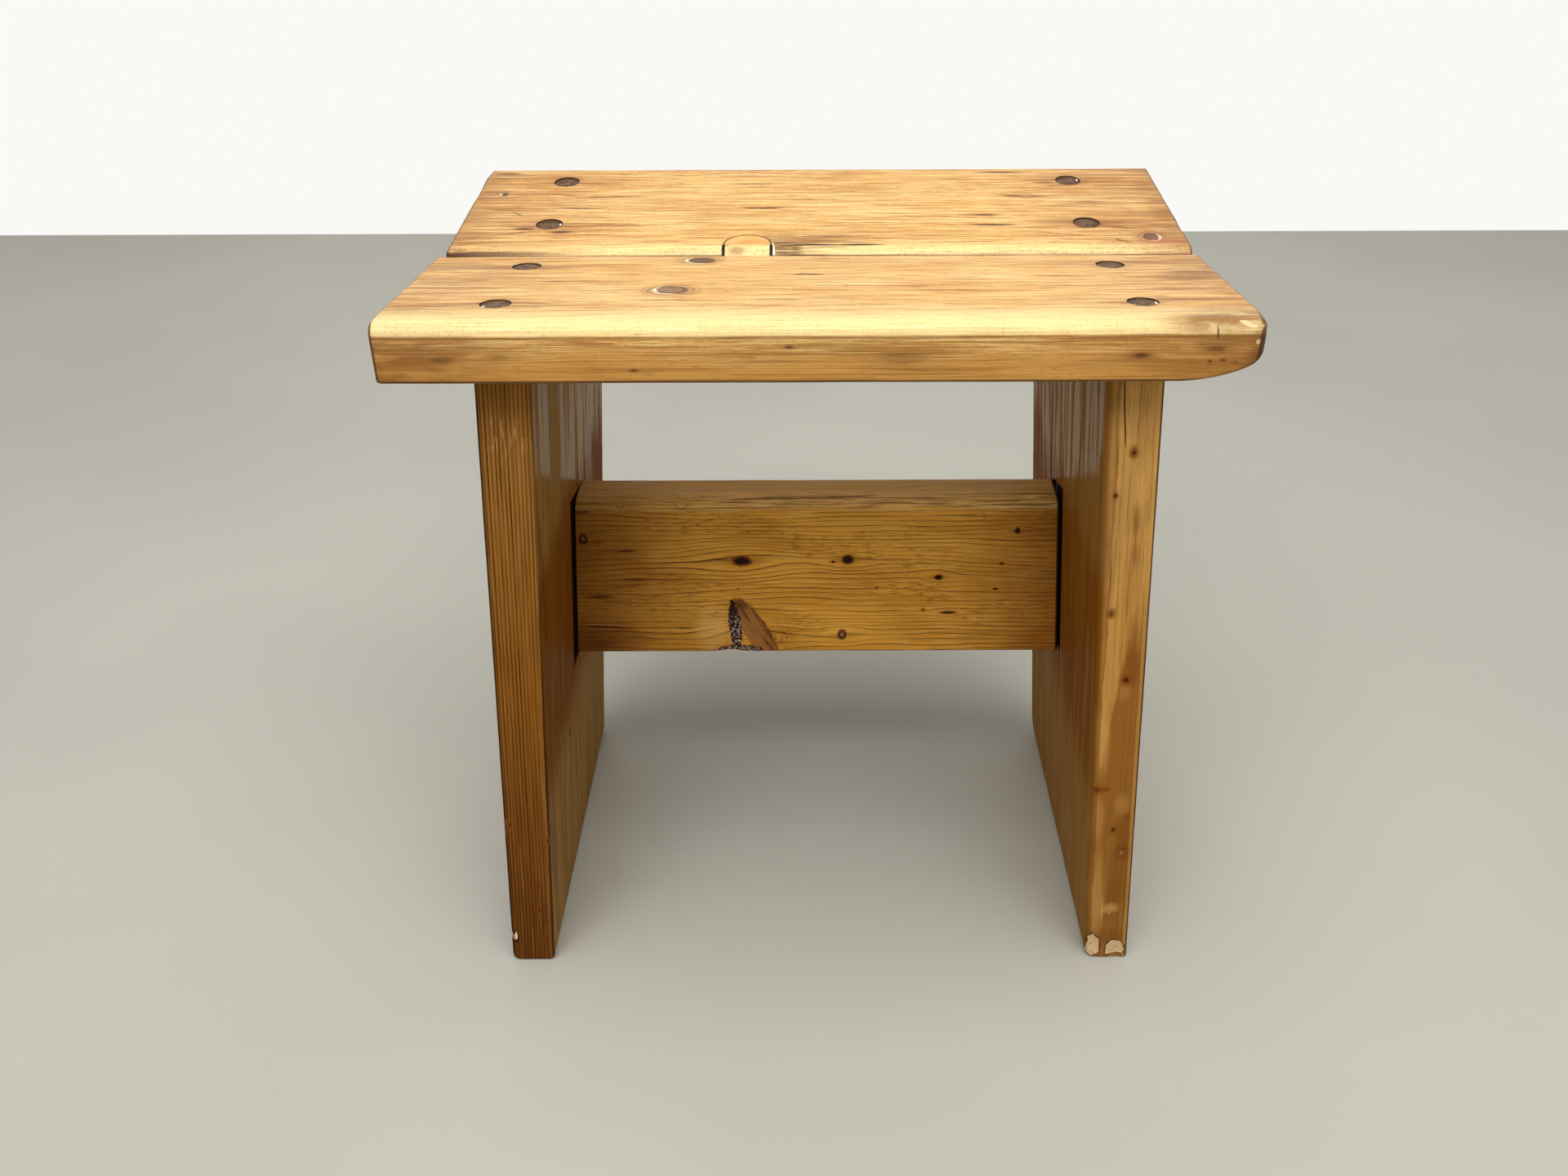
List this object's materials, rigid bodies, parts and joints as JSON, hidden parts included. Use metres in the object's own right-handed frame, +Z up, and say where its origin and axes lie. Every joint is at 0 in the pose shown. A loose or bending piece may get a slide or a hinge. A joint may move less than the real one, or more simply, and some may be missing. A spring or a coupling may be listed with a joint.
{
  "type": "pine stool",
  "caption": "Low pine stool with a shallow V seat of boards, leaning plank legs and a stretcher between them, held by through dowels that show in the seat.",
  "frame": {"origin": "on the floor, at the middle of the stool's footprint box", "axes": "+Z up, +X to the right seen from the front, +Y to the rear; the worn corner is at the front right"},
  "size_m": [0.423, 0.2708, 0.458],
  "materials": {
    "seat_pine": "waxed, pale honey, worn",
    "leg_pine": "varnished amber, satin",
    "stretcher_pine": "varnished amber, satin",
    "dowel_end_grain": "dark end grain, waxed",
    "hidden_beech": "bare"
  },
  "bodies": {
    "root": {"seat_board_front": "seat_pine", "seat_board_rear": "seat_pine", "edge_patch": "seat_pine", "left_leg_front_plank": "leg_pine", "left_leg_rear_plank": "leg_pine", "right_leg_front_plank": "leg_pine", "right_leg_rear_plank": "leg_pine", "stretcher": "stretcher_pine", "seat_dowel_1": "dowel_end_grain", "seat_dowel_2": "dowel_end_grain", "seat_dowel_3": "dowel_end_grain", "seat_dowel_4": "dowel_end_grain", "seat_dowel_5": "dowel_end_grain", "seat_dowel_6": "dowel_end_grain", "seat_dowel_7": "dowel_end_grain", "seat_dowel_8": "dowel_end_grain", "stretcher_dowel_1": "dowel_end_grain", "stretcher_dowel_2": "dowel_end_grain", "stretcher_dowel_3": "dowel_end_grain", "stretcher_dowel_4": "dowel_end_grain", "left_leg_edge_dowel_1": "hidden_beech", "left_leg_edge_dowel_2": "hidden_beech", "left_leg_edge_dowel_3": "hidden_beech", "right_leg_edge_dowel_1": "hidden_beech", "right_leg_edge_dowel_2": "hidden_beech", "right_leg_edge_dowel_3": "hidden_beech"}
  },
  "joints": []
}
